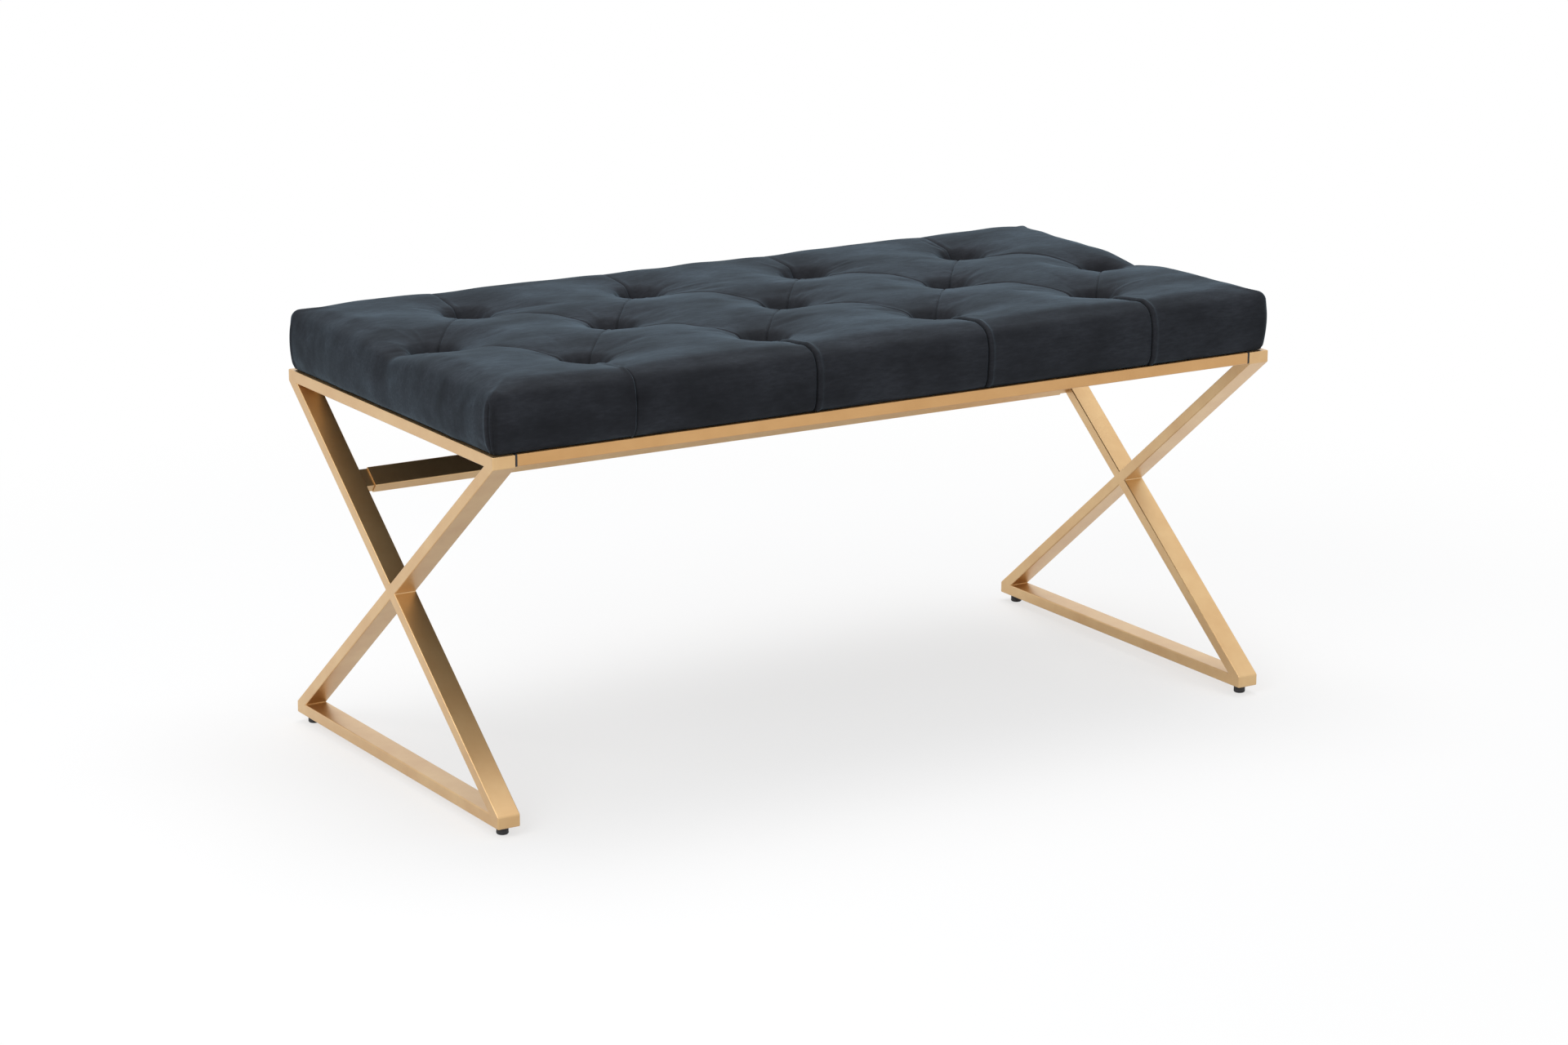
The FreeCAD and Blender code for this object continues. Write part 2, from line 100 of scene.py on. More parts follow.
def champagne_gold_steel(name, light, dark):
    """Steel tube with a satin copper-gold plating under clear lacquer: soft warm reflections, a pale sheen where the
    lacquer catches the light, a faint cloudy tone and a fine grain."""
    material, tree, place = blank_material(name)
    cloud = add(tree, "ShaderNodeTexNoise", None, {"Scale": 1 / (45 * mm), "Detail": 3.0, "Roughness": 0.6},
                {"Vector": (place, "Object")})
    tone = add(tree, "ShaderNodeMix", {"data_type": "RGBA"}, {6: linear(light), 7: linear(dark)},
               {0: (cloud, "Fac")})
    grain = add(tree, "ShaderNodeTexNoise", None, {"Scale": 1 / (0.9 * mm), "Detail": 2.0, "Roughness": 0.7},
                {"Vector": (place, "Object")})
    polish = add(tree, "ShaderNodeMapRange", None, {"To Min": 0.38, "To Max": 0.48}, {"Value": (grain, "Fac")})
    bump = add(tree, "ShaderNodeBump", None, {"Strength": 0.06, "Distance": 0.05 * mm}, {"Height": (grain, "Fac")})
    surface = add(tree, "ShaderNodeBsdfPrincipled", None,
                  {"Metallic": 1.0, "Coat Weight": 0.6, "Coat Roughness": 0.3, "Coat IOR": 1.5},
                  {"Base Color": (tone, 2), "Roughness": (polish, "Result"), "Normal": (bump, "Normal")})
    add(tree, "ShaderNodeOutputMaterial", None, None, {"Surface": (surface, "BSDF")})
    return material


def navy_velvet():
    """Short-pile velvet: dark where the pile is seen end on, a bluish bloom where it is seen from the side, cloudy
    patches where the nap was brushed another way, and painted shade inside the folds and in the eyes of the tufts."""
    material, tree, place = blank_material("navy_velvet")
    along = add(tree, "ShaderNodeMapping", None, {"Scale": (1.0, 2.2, 1.6)}, {"Vector": (place, "Object")})
    nap = add(tree, "ShaderNodeTexNoise", None, {"Scale": 1 / (90 * mm), "Detail": 4.0, "Roughness": 0.62},
              {"Vector": (along, "Vector")})
    brushed = add(tree, "ShaderNodeMapRange", None, {"From Min": 0.3, "From Max": 0.7}, {"Value": (nap, "Fac")})
    # Brush strokes run along the bench, 3 mm wide and about 12 mm long
    drawn = add(tree, "ShaderNodeMapping", None, {"Scale": (0.25, 1.0, 1.0)}, {"Vector": (place, "Object")})
    strokes = add(tree, "ShaderNodeTexNoise", None, {"Scale": 1 / (3 * mm), "Detail": 3.0, "Roughness": 0.6},
                  {"Vector": (drawn, "Vector")})
    patch = add(tree, "ShaderNodeMath", {"operation": "MULTIPLY"}, None,
                {0: (brushed, "Result"), 1: (strokes, "Fac")})
    tone = add(tree, "ShaderNodeMix", {"data_type": "RGBA"}, {6: linear("#15161a"), 7: linear("#34363c")},
               {0: (patch, "Value")})
    # Painted shade: the fold attribute darkens the colour and the sheen in the grooves, the corner pleats and the
    # tuft eyes
    fold = add(tree, "ShaderNodeAttribute", {"attribute_name": "fold"})
    painted_shade_factor = add(tree, "ShaderNodeMapRange", None, {"To Min": 1.0, "To Max": 0.3}, {"Value": (fold, "Fac")})
    tone = add(tree, "ShaderNodeMix", {"data_type": "RGBA", "blend_type": "MULTIPLY"}, {0: 1.0},
               {6: (tone, 2), 7: (painted_shade_factor, "Result")})
    bloom = add(tree, "ShaderNodeMapRange", None, {"From Max": 0.6, "To Min": 0.2, "To Max": 0.48},
                {"Value": (patch, "Value")})
    bloom = add(tree, "ShaderNodeMath", {"operation": "MULTIPLY"}, None, {0: (bloom, "Result"), 1: (painted_shade_factor, "Result")})
    # Pile tips are about 0.3 mm apart, drawn at 1.4 mm so that they show
    pile = add(tree, "ShaderNodeTexNoise", None, {"Scale": 1 / (1.4 * mm), "Detail": 2.0, "Roughness": 0.75},
               {"Vector": (place, "Object")})
    rough = add(tree, "ShaderNodeMapRange", None, {"To Min": 0.72, "To Max": 0.92}, {"Value": (pile, "Fac")})
    bump = add(tree, "ShaderNodeBump", None, {"Strength": 0.25, "Distance": 0.25 * mm}, {"Height": (pile, "Fac")})
    surface = add(tree, "ShaderNodeBsdfPrincipled", None,
                  {"Sheen Roughness": 0.4, "Sheen Tint": linear("#90b2c8"), "Specular IOR Level": 0.15},
                  {"Base Color": (tone, 2), "Sheen Weight": (bloom, "Value"), "Roughness": (rough, "Result"),
                   "Normal": (bump, "Normal")})
    add(tree, "ShaderNodeOutputMaterial", None, None, {"Surface": (surface, "BSDF")})
    return material


def black_spunbond():
    """Thin non-woven polypropylene: matt black fibres pressed together in a grid of small points."""
    material, tree, place = blank_material("black_spunbond_cloth")
    # Bonding points are about 1 mm apart, drawn at 2 mm so that they show
    points = add(tree, "ShaderNodeTexVoronoi", None, {"Scale": 1 / (2 * mm), "Randomness": 0.15},
                 {"Vector": (place, "Object")})
    fibres = add(tree, "ShaderNodeTexNoise", None, {"Scale": 1 / (6 * mm), "Detail": 5.0, "Roughness": 0.7},
                 {"Vector": (place, "Object")})
    tone = add(tree, "ShaderNodeMix", {"data_type": "RGBA"}, {6: linear("#131416"), 7: linear("#24262a")},
               {0: (fibres, "Fac")})
    bump = add(tree, "ShaderNodeBump", None, {"Strength": 0.4, "Distance": 0.2 * mm},
               {"Height": (points, "Distance")})
    surface = add(tree, "ShaderNodeBsdfPrincipled", None, {"Roughness": 0.9, "Specular IOR Level": 0.3},
                  {"Base Color": (tone, 2), "Normal": (bump, "Normal")})
    add(tree, "ShaderNodeOutputMaterial", None, None, {"Surface": (surface, "BSDF")})
    return material


def black_nylon():
    """Moulded polyamide: near black, a dull gloss and the fine pitting of a spark-eroded mould."""
    material, tree, place = blank_material("moulded_black_nylon")
    pits = add(tree, "ShaderNodeTexNoise", None, {"Scale": 1 / (0.6 * mm), "Detail": 2.0},
               {"Vector": (place, "Object")})
    scuff = add(tree, "ShaderNodeTexNoise", None, {"Scale": 1 / (7 * mm), "Detail": 4.0},
                {"Vector": (place, "Object")})
    tone = add(tree, "ShaderNodeMix", {"data_type": "RGBA"}, {6: linear("#121214"), 7: linear("#202124")},
               {0: (scuff, "Fac")})
    gloss = add(tree, "ShaderNodeMapRange", None, {"To Min": 0.4, "To Max": 0.6}, {"Value": (scuff, "Fac")})
    bump = add(tree, "ShaderNodeBump", None, {"Strength": 0.15, "Distance": 0.08 * mm}, {"Height": (pits, "Fac")})
    surface = add(tree, "ShaderNodeBsdfPrincipled", None, {"IOR": 1.53},
                  {"Base Color": (tone, 2), "Roughness": (gloss, "Result"), "Normal": (bump, "Normal")})
    add(tree, "ShaderNodeOutputMaterial", None, None, {"Surface": (surface, "BSDF")})
    return material


def zinc_plated_steel():
    """Steel fasteners with bright zinc: cool grey, slightly cloudy, with a dull bloom."""
    material, tree, place = blank_material("zinc_plated_steel")
    bloom = add(tree, "ShaderNodeTexNoise", None, {"Scale": 1 / (4 * mm), "Detail": 3.0},
                {"Vector": (place, "Object")})
    tone = add(tree, "ShaderNodeMix", {"data_type": "RGBA"}, {6: linear("#c3c7cb"), 7: linear("#9fa5ab")},
               {0: (bloom, "Fac")})
    gloss = add(tree, "ShaderNodeMapRange", None, {"To Min": 0.28, "To Max": 0.45}, {"Value": (bloom, "Fac")})
    surface = add(tree, "ShaderNodeBsdfPrincipled", None, {"Metallic": 1.0},
                  {"Base Color": (tone, 2), "Roughness": (gloss, "Result")})
    add(tree, "ShaderNodeOutputMaterial", None, None, {"Surface": (surface, "BSDF")})
    return material


def birch_plywood():
    """Raw birch plywood: pale yellow wood with long grain along the bench and thin veneer lines in its edge."""
    material, tree, place = blank_material("birch_plywood")
    along = add(tree, "ShaderNodeMapping", None, {"Scale": (0.06, 1.0, 1.0)}, {"Vector": (place, "Object")})
    grain = add(tree, "ShaderNodeTexNoise", None, {"Scale": 1 / (3 * mm), "Detail": 4.0},
                {"Vector": (along, "Vector")})
    # Veneers 3 mm thick: one wave is 0.314 of the texture's unit
    veneer = add(tree, "ShaderNodeTexWave", {"bands_direction": "Z"},
                 {"Scale": 0.314 / (3 * mm), "Distortion": 0.2}, {"Vector": (place, "Object")})
    wood = add(tree, "ShaderNodeMix", {"data_type": "RGBA"}, {6: linear("#d9bf94"), 7: linear("#b9935f")},
               {0: (grain, "Fac")})
    plies = add(tree, "ShaderNodeMix", {"data_type": "RGBA", "blend_type": "MULTIPLY"}, {0: 0.35},
                {6: (wood, 2), 7: (veneer, "Color")})
    surface = add(tree, "ShaderNodeBsdfPrincipled", None, {"Roughness": 0.75}, {"Base Color": (plies, 2)})
    add(tree, "ShaderNodeOutputMaterial", None, None, {"Surface": (surface, "BSDF")})
    return material


def waxed_twine():
    """Waxed nylon twine: off-white plies with a slight shine."""
    material, tree, place = blank_material("waxed_nylon_twine")
    fibre = add(tree, "ShaderNodeTexNoise", None, {"Scale": 1 / (0.8 * mm), "Detail": 3.0},
                {"Vector": (place, "Object")})
    tone = add(tree, "ShaderNodeMix", {"data_type": "RGBA"}, {6: linear("#ddd6c4"), 7: linear("#b5ab94")},
               {0: (fibre, "Fac")})
    surface = add(tree, "ShaderNodeBsdfPrincipled", None, {"Roughness": 0.55}, {"Base Color": (tone, 2)})
    add(tree, "ShaderNodeOutputMaterial", None, None, {"Surface": (surface, "BSDF")})
    return material


gold = champagne_gold_steel("satin_champagne_gold_steel", "#e0c18f", "#c99f6d")
# The rails get a darker, more copper-toned copy of the same gold
darker_rail_gold = champagne_gold_steel("darker_satin_gold_steel", "#d2a66f", "#bf9058")
velvet = navy_velvet()
spunbond = black_spunbond()
nylon = black_nylon()
zinc = zinc_plated_steel()
plywood = birch_plywood()
twine = waxed_twine()


# Making pieces

def new_piece(name, mesh, material):
    piece = bpy.data.objects.new(name, mesh)
    mesh.materials.clear()
    mesh.materials.append(material)
    scene.collection.objects.link(piece)
    return piece


def smooth(mesh, crease_angle=None):
    """Smooth faces, with crisp corners where they meet at more than an angle."""
    mesh.polygons.foreach_set("use_smooth", [True] * len(mesh.polygons))
    if crease_angle is not None:
        mesh.set_sharp_from_angle(angle=math.radians(crease_angle))


def close_form(form, mesh):
    form.to_mesh(mesh)
    form.free()


def settle(piece, crease_angle=35):
    """Turns a piece with live modifiers into a plain mesh with smooth faces and crisp corners. Without an angle it
    keeps the shading that the modifiers gave."""
    evaluated = piece.evaluated_get(bpy.context.evaluated_depsgraph_get())
    mesh = bpy.data.meshes.new_from_object(evaluated)
    piece.modifiers.clear()
    piece.data = mesh
    if crease_angle is not None:
        smooth(mesh, crease_angle)


# Side frames

def brace_slope():
    """The braces run corner to corner between the bars."""
    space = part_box("left_top_bar")[0].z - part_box("left_bottom_bar")[1].z
    return math.atan2(space, 2 * half_depth) + math.asin(tube_thickness / math.hypot(2 * half_depth, space))


def welded_frame(side):
    """A side frame with its welds ground flush: one skin with rounded edges round the X and its two bars."""
    top_low, top_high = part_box(side + "_top_bar")
    low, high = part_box(side + "_bottom_bar")
    middle_z = (low.z + top_high.z) / 2
    slope = brace_slope()
    foot = half_depth - tube_thickness / math.sin(slope)
    cross_y = tube_thickness / 2 / math.sin(slope)
    cross_z = tube_thickness / 2 / math.cos(slope)
    mesh = bpy.data.meshes.new(side + "_side_frame")
    form = bmesh.new()

    def corner(y, z):
        return form.verts.new((low.x, y, z))

    left, right = corner(-cross_y, middle_z), corner(cross_y, middle_z)
    waist = {-1: corner(0, middle_z - cross_z), 1: corner(0, middle_z + cross_z)}
    form.faces.new((waist[-1], right, waist[1], left))
    for way, outer, inner in ((-1, low.z, high.z), (1, top_high.z, top_low.z)):
        ends = [corner(y, outer) for y in (-half_depth, half_depth)]
        inside = [corner(y, inner) for y in (half_depth, foot, -foot, -half_depth)]
        form.faces.new(ends + inside)
        form.faces.new((inside[1], inside[0], right, waist[way]))
        form.faces.new((inside[3], inside[2], waist[way], left))
    bmesh.ops.recalc_face_normals(form, faces=form.faces)
    walls = bmesh.ops.extrude_face_region(form, geom=form.faces[:])
    moved = [item for item in walls["geom"] if isinstance(item, bmesh.types.BMVert)]
    bmesh.ops.translate(form, verts=moved, vec=(tube_width, 0, 0))
    bmesh.ops.dissolve_limit(form, angle_limit=math.radians(1), verts=form.verts[:], edges=form.edges[:])
    bmesh.ops.recalc_face_normals(form, faces=form.faces)
    close_form(form, mesh)
    smooth(mesh)
    piece = new_piece(side + "_side_frame", mesh, gold)
    edge = piece.modifiers.new("rounded_edges", "BEVEL")
    edge.width = 1.3 * mm
    edge.segments = 3
    edge.limit_method = "ANGLE"
    edge.angle_limit = math.radians(20)
    edge.harden_normals = True
    settle(piece, None)
    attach(piece, "frame")
    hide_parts(*[side + name for name in (
        "_top_bar", "_bottom_bar", "_long_brace", "_upper_rear_brace", "_lower_front_brace", "_frame_end_caps")])


# Seat

corner_radius = 9 * mm
shoulder_radius = 12 * mm
crown_radius = 45 * mm
shoulder_sweep = math.radians(65)
stuffing_rise = 4 * mm
stuffing_swell = 2.2 * mm
grid_step = 4.2 * mm
end_hollow, end_hollow_reach = 9 * mm, 72 * mm
side_bulge, side_tuck = 8.6 * mm, 3 * mm
# Kinds of fold: depth of the groove, then height, distance and width of the lip, all in millimetres, then how firmly
# the fold is set and how dark the painted shade in its groove is
fold_kinds = {
    "pleat": (2.2, 2.2, 4.0, 2.8, 1.0, 1.0),
    "turned pleat": (1.0, 1.9, 2.9, 1.7, 1.0, 0.3),
    "fold": (2.6, 0.5, 2.9, 1.7, 1.0, 1.0),
    "open fold": (2.6, 0.5, 2.9, 1.7, 0.7, 0.5),
}
groove_width, fold_end = 1 * mm, 4 * mm
# Painted shade in the eye of each tuft: how dark, and how far out it reaches
painted_eye_shade, eye_reach = 0.9, 27 * mm
gather_height, gather_reach, gather_width = 0.7 * mm, 17 * mm, 10 * mm
waviness = 0.16 * mm


def seat_lines(half, pleats=()):
    """Grid lines across the seat: even in the middle, closer at the edges and beside each pleat."""
    near = np.array([0, 0.5, 1.8, 4, 6.5, 9, 12]) * mm
    inner = half - near[-1]
    middle = np.linspace(-inner, inner, round(2 * inner / grid_step) + 1)
    for x in pleats:
        middle = middle[np.abs(middle - x) > 6.5 * mm]
        middle = np.append(middle, x + np.array([-4.5, -2.4, -1, 0, 1, 2.4, 4.5]) * mm)
    return np.concatenate([near[:-1] - half, np.sort(middle), half - near[-2::-1]])


def edge_drop(inset):
    """How far the seat's top lies below its crown at a distance from the edge: a tight shoulder, then a crown."""
    shift = crown_radius - shoulder_radius
    shoulder_end = shoulder_radius * (1 - math.cos(shoulder_sweep))
    crown_start = shoulder_radius + shift * math.cos(shoulder_sweep)
    shoulder_z = crown_radius - shift * math.sin(shoulder_sweep)
    tight = shoulder_z - np.sqrt(np.maximum(shoulder_radius ** 2 - (shoulder_radius - inset) ** 2, 0))
    crown = crown_radius - np.sqrt(crown_radius ** 2 - np.clip(crown_start - inset, 0, crown_start) ** 2)
    return np.where(inset < shoulder_end, tight, crown)


def fold_lines():
    """The folds in plan: from each outer tuft to its two neighbours in the middle row, and over the edge."""
    starts, ends, over_edge = [], [], []
    for row, way in ((front_tufts, -1), (rear_tufts, 1)):
        for index, place in enumerate(row):
            for neighbour in (middle_tufts[index], middle_tufts[index + 1]):
                starts.append(place)
                ends.append(neighbour)
                over_edge.append(False)
            starts.append(place)
            ends.append((place[0], way * 1.3 * half_depth))
            over_edge.append(True)
    return np.array(starts), np.array(ends), np.array(over_edge)


def across_lines(plan, starts, ends):
    """For each point and line: the signed distance across, the distance to the stretch, and the share along it."""
    way = ends - starts
    length = np.linalg.norm(way, axis=1)
    unit = way / length[:, None]
    offset = plan[:, None, :] - starts[None]
    along = (offset * unit[None]).sum(2)
    side = offset[..., 0] * unit[None, :, 1] - offset[..., 1] * unit[None, :, 0]
    past = along - np.clip(along, 0, length[None])
    return side, np.hypot(side, past), np.clip(along / length[None], 0, 1)


def tuft_distance(plan):
    return np.linalg.norm(plan[:, None, :] - tufts[None], axis=2)


def dimples(plan):
    """Depth of the tufts and of the soft valleys along the folds."""
    away = tuft_distance(plan)
    # A stretched skin that is pulled down at a point falls by the logarithm of the distance
    funnel = tuft_pull * np.log(tuft_reach / np.clip(away, tuft_pinch, tuft_reach))
    down = np.clip((tuft_well_reach - away) / tuft_well_wall, 0, 1)
    well = tuft_well * down ** 2 * (3 - 2 * down)
    pulled = (funnel * (1 - np.minimum(away / tuft_reach, 1) ** 2) + well).sum(1)
    starts, ends, over_edge = fold_lines()
    distance, share = across_lines(plan, starts, ends)[1:]
    between = 0.8 * mm + 1.5 * mm * (2 * share - 1) ** 2
    outward = np.where(starts[None, :, 1] < 0, 3.7, 0.6) * mm * (1 - share) ** 1.5
    valley = np.where(over_edge[None], outward, between)
    width = np.where(over_edge[None], 20 * mm, 28 * mm)
    valley = (valley * np.clip(1 - distance / width, 0, 1) ** 2).max(1)
    return pulled + valley * np.clip(away.min(1) / (24 * mm), 0, 1)


def end_hollows(plan):
    """The cover is drawn down between each end tuft and the seat's end."""
    ends = np.array([middle_tufts[0], middle_tufts[-1]])
    distance = across_lines(plan, ends, ends * 1.5)[1]
    return (end_hollow * np.clip(1 - distance / end_hollow_reach, 0, 1) ** 2).max(1)


def seat_form():
    """The stuffed cover before it swells: a crowned, dimpled top on drawn-in sides, and a hem turned under."""
    pleats = [x for x, y in front_tufts]
    xs, ys = np.meshgrid(seat_lines(half_length, pleats), seat_lines(half_depth), indexing="ij")
    core = np.array([half_length, half_depth]) - corner_radius
    over_x = np.maximum(np.abs(xs) - core[0], 0)
    over_y = np.maximum(np.abs(ys) - core[1], 0)
    ring = np.maximum(over_x, over_y)
    reach = np.hypot(over_x, over_y)
    pull = np.where(reach > 0, ring / np.maximum(reach, 1e-9), 1)
    px = np.sign(xs) * (np.minimum(np.abs(xs), core[0]) + over_x * pull)
    py = np.sign(ys) * (np.minimum(np.abs(ys), core[1]) + over_y * pull)
    inset = np.where(ring > 0, corner_radius - ring, np.minimum(half_length - np.abs(xs), half_depth - np.abs(ys)))
    plan = np.stack([px.ravel(), py.ravel()], 1)
    drop = edge_drop(inset.ravel())
    fade = np.clip(inset.ravel() / (30 * mm), 0, 1) * 0.75 + 0.25
    heights = seat_top + stuffing_rise - drop - dimples(plan) * fade - end_hollows(plan)
    across, deep = xs.shape
    index = np.arange(across * deep).reshape(across, deep)
    loop = np.concatenate([index[:-1, 0], index[-1, :-1], index[:0:-1, -1], index[0, :0:-1]])
    faces = [np.stack([index[:-1, :-1], index[1:, :-1], index[1:, 1:], index[:-1, 1:]], 2).reshape(-1, 4)]
    points = [np.column_stack([plan, heights])]
    rim = plan[loop]
    rim_core = np.clip(rim, -core, core)
    outward = (rim - rim_core) / np.linalg.norm(rim - rim_core, axis=1)[:, None]
    rim_z = heights[loop]
    previous, count = loop, across * deep
    rows = []
    for share in np.linspace(1, 0, 14)[1:-1]:
        bulge = side_bulge * share * (1 - share) - side_tuck * (1 - share) ** 2
        rows.append(np.column_stack([rim + outward * bulge, seat_base + share * (rim_z - seat_base)]))
    # The hem: round the lower edge, then in under the board and up to its raw edge
    for inward, up in ((3.4, 3.2), (4.6, 1.4), (6.6, 0.3), (9.5, 0)):
        rows.append(np.column_stack([rim - outward * inward * mm, np.full(len(rim), seat_base + up * mm)]))
    for inward, up in ((15, 0), (23, 0), (31, 0), (36.4, 0), (37, 0.4), (37, 1.3)):
        share = 1 - inward * mm / np.array([half_length, half_depth])
        rows.append(np.column_stack([rim * share, np.full(len(rim), seat_base + up * mm)]))
    for row in rows:
        current = np.arange(count, count + len(loop))
        count += len(loop)
        faces.append(np.stack([previous, current, np.roll(current, -1), np.roll(previous, -1)], 1))
        points.append(row)
        previous = current
    return np.concatenate(points), np.concatenate(faces)


def swell(piece, points):
    """Stuffs the cover: cloth under slight pressure, held at its hem, in the tufts and lightly along the folds."""
    plan = points[:, :2]
    starts, ends = fold_lines()[:2]
    hold_reach, fold_hold = 5 * mm, 0.2
    distance = across_lines(plan, starts, ends)[1]
    hold = np.clip(1 - distance.min(1) / hold_reach, 0, 1) * fold_hold
    hold = np.maximum(hold, np.clip(2 - tuft_distance(plan).min(1) / hold_reach, 0, 1))
    hold = np.where(points[:, 2] < seat_base + 3 * mm, 1, hold)
    group = piece.vertex_groups.new(name="held")
    steps = np.round(hold * 10).astype(int)
    for step in range(1, 11):
        group.add(np.flatnonzero(steps == step).tolist(), step / 10, "REPLACE")
    cloth = piece.modifiers.new("stuffing", "CLOTH")
    settings = cloth.settings
    settings.quality = 5
    settings.mass = 0.3
    settings.tension_stiffness = 20
    settings.compression_stiffness = 20
    settings.shear_stiffness = 8
    settings.bending_stiffness = 0.4
    settings.use_pressure = True
    settings.uniform_pressure_force = 4
    settings.vertex_group_mass = "held"
    settings.effector_weights.gravity = 0
    cloth.collision_settings.use_collision = False
    for step in range(1, 15):
        scene.frame_set(step)
    mesh = piece.evaluated_get(bpy.context.evaluated_depsgraph_get()).data
    swollen = np.zeros(len(points) * 3)
    mesh.vertices.foreach_get("co", swollen)
    piece.modifiers.remove(cloth)
    piece.vertex_groups.clear()
    scene.frame_set(1)
    move = swollen.reshape(-1, 3) - points
    far = np.linalg.norm(move, axis=1)
    limited = stuffing_swell * np.tanh(far / stuffing_swell)
    return points + move * (limited / np.maximum(far, 1e-9))[:, None]


def corner_pleats(points):
    """Height and painted shade of the upright pleat at each corner, where the cover is folded from the end onto the
    front.
    """
    over = np.abs(points[:, :2]) - np.array([half_length, half_depth]) + corner_radius
    round_corner = corner_radius * np.arctan2(over[:, 1], np.maximum(over[:, 0], 1e-9))
    along_front = corner_radius * math.pi / 2 - over[:, 0]
    past = np.where(over[:, 1] < 0, over[:, 1], np.where(over[:, 0] < 0, along_front, round_corner))
    upright = np.clip((seat_top - 8 * mm - points[:, 2]) / (10 * mm), 0, 1) * (over.min(1) > -20 * mm)
    line = np.exp(-((past - 1 * mm) / (1.3 * mm)) ** 2)
    lip = np.exp(-((past + 2.6 * mm) / (2.2 * mm)) ** 2)
    flat = np.exp(-((past - 7.5 * mm) / (4.5 * mm)) ** 2)
    # Painted shade on the pleat's groove and on the flattened corner facet
    return upright * (1.1 * lip - 1.6 * line - 0.9 * flat) * mm, upright * np.maximum(0.8 * line, 0.6 * flat)


def lapped_folds(points):
    """Height of the folds and pleats, and the painted shade in their grooves and in the eye of each tuft."""
    plan = points[:, :2]
    starts, ends, over_edge = fold_lines()
    side, distance, share = across_lines(plan, starts, ends)
    strength = np.where(over_edge[None], 1.0, 0.3 + 0.7 * np.abs(2 * share - 1) ** 1.5)
    strength = strength * np.exp(-((distance - np.abs(side)) / fold_end) ** 2)
    # Folds that lean to the left lie more open. The left pleat of the front is lapped the other way, so that its lip
    # shows and its groove hardly does
    lean = (ends - starts).prod(1) < 0
    turned = over_edge & (starts == starts.min(0)).all(1)
    kinds = np.where(over_edge, np.where(turned, "turned pleat", "pleat"), np.where(lean, "open fold", "fold"))
    depth, lip_height, lip_place, lip_width, firm, dark = np.array([fold_kinds[kind] for kind in kinds]).T
    lap = np.where(over_edge[None], -1, 1) * side
    lap = np.where(starts[None, :, 1] < 0, lap, -lap)
    lap = np.where(turned[None], -lap, lap)
    # Rear pleats run out before the edge and start again on the face
    slack = over_edge & (starts[:, 1] > 0)
    face = np.clip((seat_top - 12 * mm - points[:, 2]) / (12 * mm), 0, 1)
    flatter = np.maximum(np.clip(0.7 - 1.6 * share, 0, 0.6), 0.5 * face[:, None])
    strength = strength * np.where(slack[None], flatter, firm[None])
    groove = np.exp(-(lap / groove_width) ** 2)
    lip = np.exp(-((lap - lip_place * mm) / (lip_width * mm)) ** 2)
    height = ((lip_height[None] * mm * lip - depth[None] * mm * groove) * strength).sum(1)
    # Painted shade: the groove is drawn darker, and so is the eye of each tuft
    painted_shade = (strength * dark[None] * groove).max(1)
    eye = painted_eye_shade * np.clip(1.1 - tuft_distance(plan).min(1) / eye_reach, 0, 1)
    return height, np.maximum(painted_shade, eye)


def creases(points):
    """Height of the lapped folds, the small drag lines round the tufts and the unevenness of a hand-sewn cover,
    and the painted shade in the folds, the corner pleats and the tuft eyes."""
    plan = points[:, :2]
    height, painted_shade = lapped_folds(points)
    pleat, painted_pleat_shade = corner_pleats(points)
    height, painted_shade = height + pleat, np.maximum(painted_shade, painted_pleat_shade)
    chance = np.random.RandomState(7)
    full_turn = 6.3
    for place in tufts:
        # Gathers run down into the tuft
        offset = plan - place
        away = np.linalg.norm(offset, axis=1)
        turn = np.arctan2(offset[:, 1], offset[:, 0])
        gather = np.cos(7 * turn + chance.uniform(0, full_turn))
        gather = gather + 0.7 * np.cos(12 * turn + chance.uniform(0, full_turn))
        height += gather_height * gather * np.exp(-((away - gather_reach) / gather_width) ** 2)
        for angle in chance.uniform(0, 2 * math.pi, 9):
            way = np.array([math.cos(angle), math.sin(angle)])
            start = place + way * chance.uniform(12, 22) * mm
            end = start + way * chance.uniform(22, 62) * mm
            width = chance.uniform(1.8, 3.2) * mm
            size = chance.uniform(-0.8, 0.8) * mm
            distance, share = across_lines(plan, start[None], end[None])[1:]
            height += size * np.sin(math.pi * share[:, 0]) * np.exp(-(distance[:, 0] / width) ** 2)
    for _ in range(10):
        length = chance.uniform(40, 110) * mm
        way = chance.normal(size=3)
        way = way / np.linalg.norm(way) * 2 * math.pi / length
        height += waviness * np.sin(points @ way + chance.uniform(0, full_turn))
    return np.where(points[:, 2] > seat_base + 2 * mm, height, 0), painted_shade


def refine_folds(mesh):
    """Halves the faces beside the folds between tufts, so that their lines come out crisp."""
    form = bmesh.new()
    form.from_mesh(mesh)
    form.verts.ensure_lookup_table()
    starts, ends, over_edge = fold_lines()
    plan = np.array([vert.co[:2] for vert in form.verts])
    distance = across_lines(plan, starts[~over_edge], ends[~over_edge])[1]
    high = np.array([vert.co.z for vert in form.verts]) > seat_base + 20 * mm
    near = (distance.min(1) < 8 * mm) & high
    edges = [edge for edge in form.edges if near[edge.verts[0].index] and near[edge.verts[1].index]]
    bmesh.ops.subdivide_edges(form, edges=edges, cuts=1, use_grid_fill=True)
    close_form(form, mesh)


